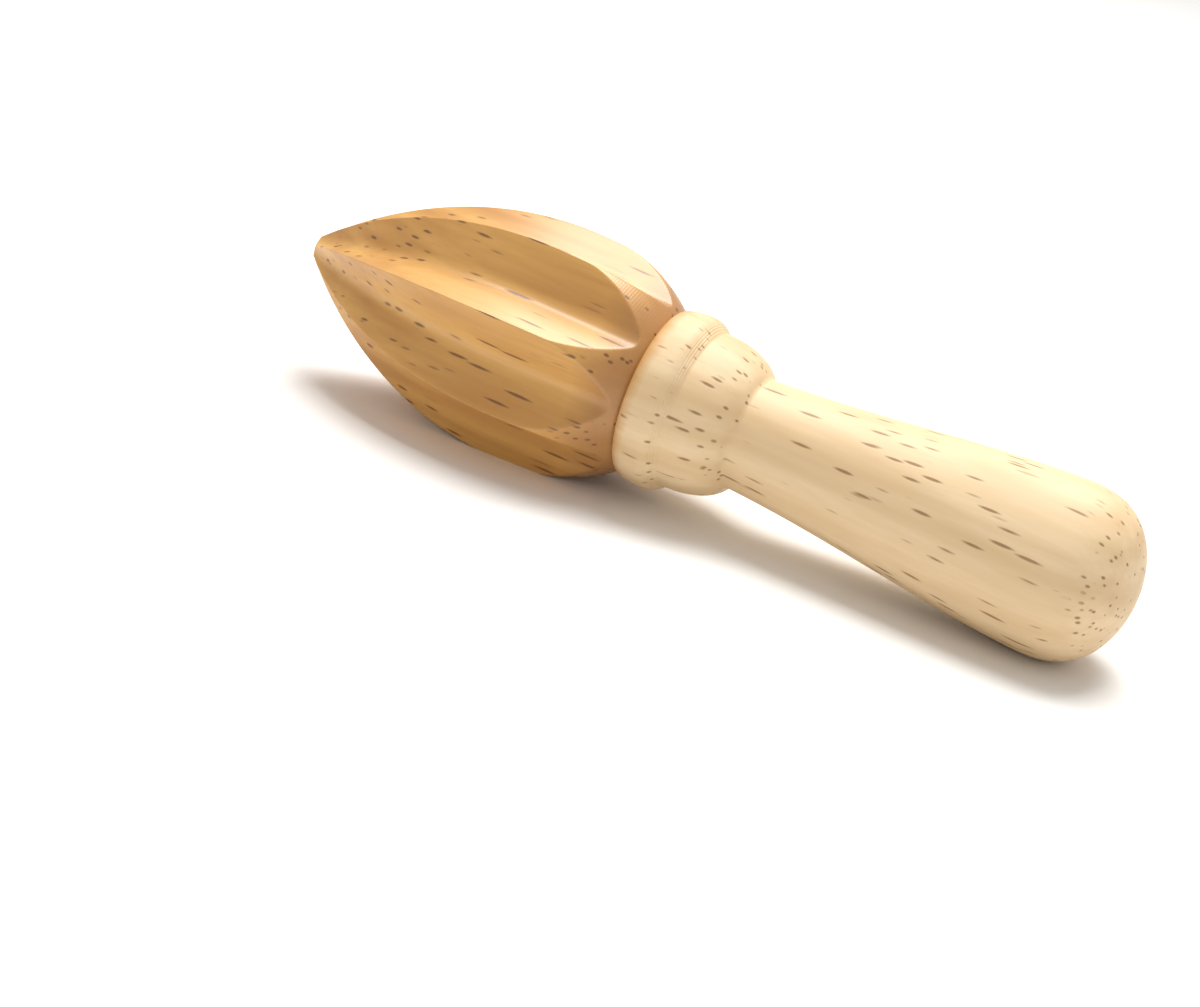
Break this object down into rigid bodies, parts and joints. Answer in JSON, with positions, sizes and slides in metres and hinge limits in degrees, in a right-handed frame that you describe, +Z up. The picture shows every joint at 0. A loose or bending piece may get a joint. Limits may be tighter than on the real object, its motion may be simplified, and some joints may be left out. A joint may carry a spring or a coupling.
{
  "type": "citrus reamer",
  "caption": "Wooden hand citrus reamer: a fluted, pointed head joined to a turned handle with a collar and a rounded butt.",
  "frame": {"origin": "on the turning axis, midway between the tip of the head and the end of the butt", "axes": "+X along the turning axis from the head to the butt; +Z up, with a flute facing straight down so that the head lies on two ridges"},
  "size_m": [0.152, 0.0382, 0.0382],
  "materials": {
    "head_wood": "semi-gloss, wet with juice",
    "handle_wood": "matt, sanded"
  },
  "bodies": {
    "root": {"head": "head_wood", "handle": "handle_wood"}
  },
  "joints": []
}
